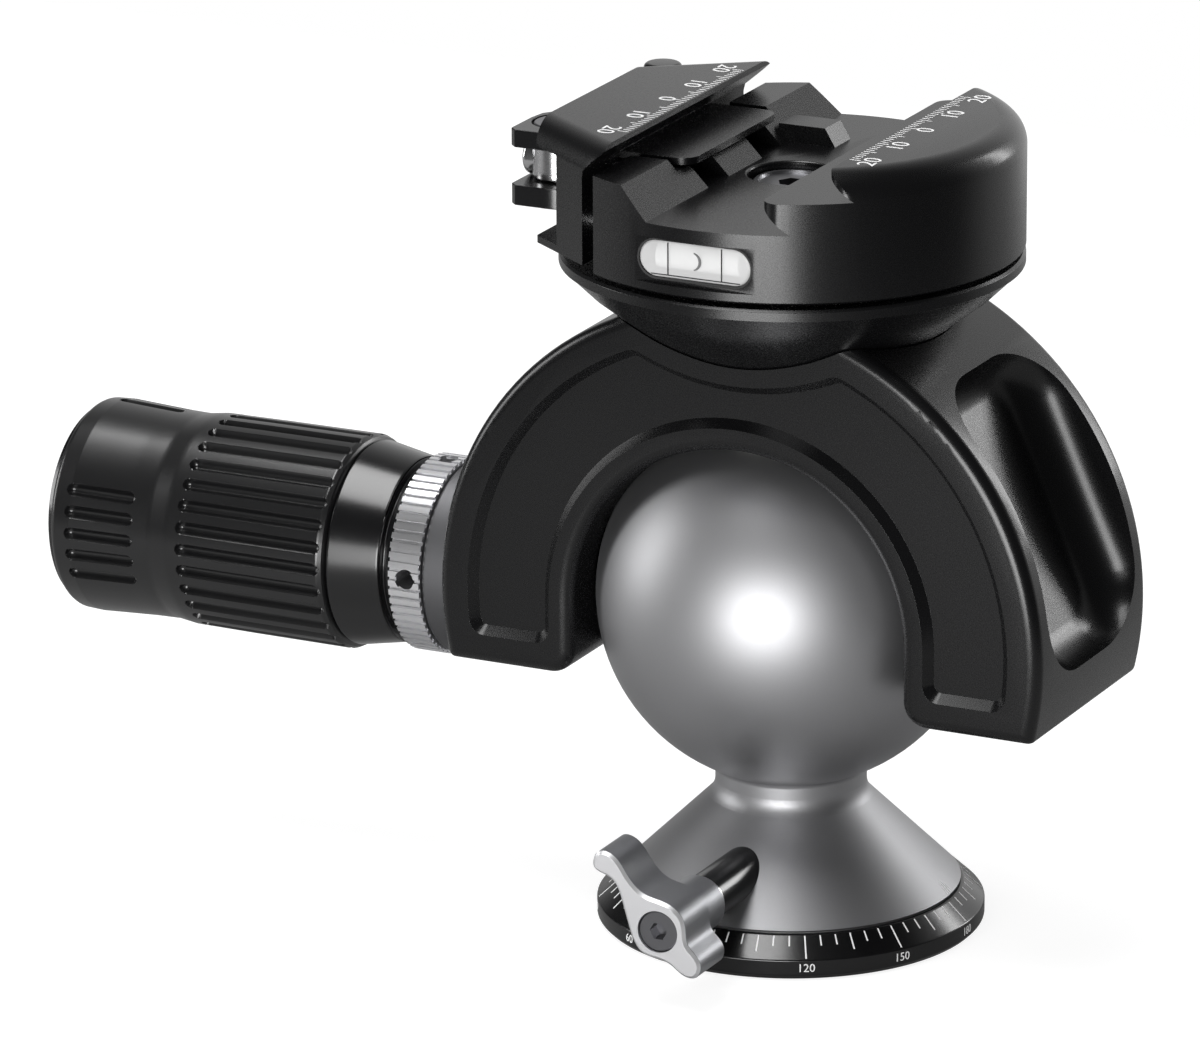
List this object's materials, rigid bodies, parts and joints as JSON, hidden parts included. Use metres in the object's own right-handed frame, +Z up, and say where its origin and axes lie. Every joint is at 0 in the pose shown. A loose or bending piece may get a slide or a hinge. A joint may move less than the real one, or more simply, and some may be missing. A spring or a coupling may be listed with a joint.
{
  "type": "tripod ball head",
  "caption": "Inverted ball head: an arch rides a fixed ball on a panning scale ring, with a side lock handle and a panning lever clamp on top.",
  "frame": {"origin": "centre of the tripod thread's mouth, on the base's underside", "axes": "+Z up through the ball, -X along the lock handle, -Y towards the base's pan lock and the spirit level"},
  "size_m": [0.1726, 0.0917, 0.128],
  "materials": {
    "black_anodised": "matt bead blasted black anodising",
    "black_satin": "satin black anodising",
    "grey_anodised": "satin grey anodising",
    "silver_aluminium": "turned, clear anodised",
    "knob_grey": "matt grey anodising with a bright machined face",
    "bright_steel": "ground stainless steel",
    "black_steel": "black oxide",
    "spring_steel": "plain spring steel",
    "grip_rubber": "moulded rubber",
    "bearing_plastic": "low friction plastic",
    "vial_clear": "clear acrylic",
    "vial_liquid": "clear liquid",
    "vial_bubble": "air bubble",
    "vial_back": "white backing"
  },
  "bodies": {
    "base": {"scale_ring": "black_satin", "tripod_bush": "bright_steel", "pan_washer": "bearing_plastic"},
    "pedestal": {"ball_pedestal": "grey_anodised", "retaining_screws": "black_steel", "pan_lock_boss": "black_satin"},
    "pan_knob": {"pan_lock_knob": "knob_grey", "pan_lock_screw": "black_steel", "pan_lock_stud": "bright_steel", "pan_lock_washer": "bright_steel"},
    "pan_shoe": {"pan_lock_shoe": "bearing_plastic"},
    "seat": {"fixed_seat_pad": "bearing_plastic"},
    "arch": {"arch_yoke": "black_anodised", "seat_liner": "bearing_plastic", "handle_collar": "grey_anodised", "pan_base": "black_anodised", "pan_base_screws": "black_steel", "clamp_washer": "bearing_plastic", "top_lock_boss": "black_satin"},
    "handle": {"handle_hub": "black_satin", "handle_grip": "grip_rubber", "handle_core": "black_satin", "handle_end_cap": "black_satin", "lock_spindle": "bright_steel", "handle_screw": "black_steel"},
    "ball_shoe": {"lock_shoe": "bearing_plastic", "disc_springs": "spring_steel"},
    "ring": {"tension_ring": "silver_aluminium"},
    "top_knob": {"top_lock_knob": "black_satin", "top_lock_stud": "bright_steel"},
    "top_shoe": {"top_lock_shoe": "bearing_plastic"},
    "clamp": {"clamp_body": "black_anodised", "pan_rotor": "bright_steel", "rotor_ring": "spring_steel", "centre_screw": "black_steel", "level_vial": "vial_clear", "level_liquid": "vial_liquid", "level_bubble": "vial_bubble", "level_backing": "vial_back", "draw_rod": "bright_steel", "lever_pin": "black_steel"},
    "lever": {"clamp_lever": "black_satin"},
    "jaw": {"movable_jaw": "black_anodised", "guide_rods": "bright_steel", "jaw_springs": "spring_steel"}
  },
  "joints": [
    {"name": "base_pan", "type": "hinge", "parent": "base", "child": "pedestal", "pos_m": [0, 0, 0.0125], "axis": [0, 0, 1], "continuous": true},
    {"name": "pan_knob_turn", "type": "hinge", "parent": "pedestal", "child": "pan_knob", "pos_m": [0, -0.038, 0.0125], "axis": [0, -1, 0], "range_deg": [-180, 0]},
    {"name": "pan_shoe_press", "type": "slide", "parent": "pedestal", "child": "pan_shoe", "axis": [0, 1, 0], "range_m": [0, 0.0005]},
    {"name": "ball_roll", "type": "hinge", "parent": "pedestal", "child": "seat", "pos_m": [0, 0, 0.0526], "axis": [0, 1, 0], "range_deg": [-28, 28]},
    {"name": "ball_tilt", "type": "hinge", "parent": "seat", "child": "arch", "pos_m": [0, 0, 0.0526], "axis": [1, 0, 0], "range_deg": [-90, 90]},
    {"name": "lock_handle_turn", "type": "hinge", "parent": "arch", "child": "handle", "pos_m": [-0.09, 0, 0.0504], "axis": [1, 0, 0], "range_deg": [0, 180]},
    {"name": "ball_shoe_press", "type": "slide", "parent": "arch", "child": "ball_shoe", "axis": [1, 0, 0], "range_m": [0, 0.00025]},
    {"name": "tension_ring_turn", "type": "hinge", "parent": "arch", "child": "ring", "pos_m": [-0.059, 0, 0.0504], "axis": [1, 0, 0], "range_deg": [0, 270]},
    {"name": "top_knob_turn", "type": "hinge", "parent": "arch", "child": "top_knob", "pos_m": [0, 0.04, 0.0996], "axis": [0, 1, 0], "range_deg": [-180, 0]},
    {"name": "top_shoe_press", "type": "slide", "parent": "arch", "child": "top_shoe", "axis": [0, -1, 0], "range_m": [0, 0.0005]},
    {"name": "top_pan", "type": "hinge", "parent": "arch", "child": "clamp", "pos_m": [0, 0, 0.0996], "axis": [0, 0, 1], "continuous": true},
    {"name": "lever_swing", "type": "hinge", "parent": "clamp", "child": "lever", "pos_m": [-0.0372, -0.0038, 0.1186], "axis": [0, 0, 1], "range_deg": [0, 90]},
    {"name": "jaw_slide", "type": "slide", "parent": "clamp", "child": "jaw", "axis": [-1, 0, 0], "range_m": [0, 0.0014], "deforming": ["jaw_springs"]}
  ],
  "couplings": [
    {"joint": "pan_shoe_press", "follows": "pan_knob_turn", "m_per_rad": -0.00015915},
    {"joint": "ball_shoe_press", "follows": "lock_handle_turn", "m_per_rad": 0.000079577},
    {"joint": "top_shoe_press", "follows": "top_knob_turn", "m_per_rad": -0.00015915},
    {"joint": "jaw_slide", "follows": "lever_swing", "m_per_rad": 0.00089127}
  ]
}
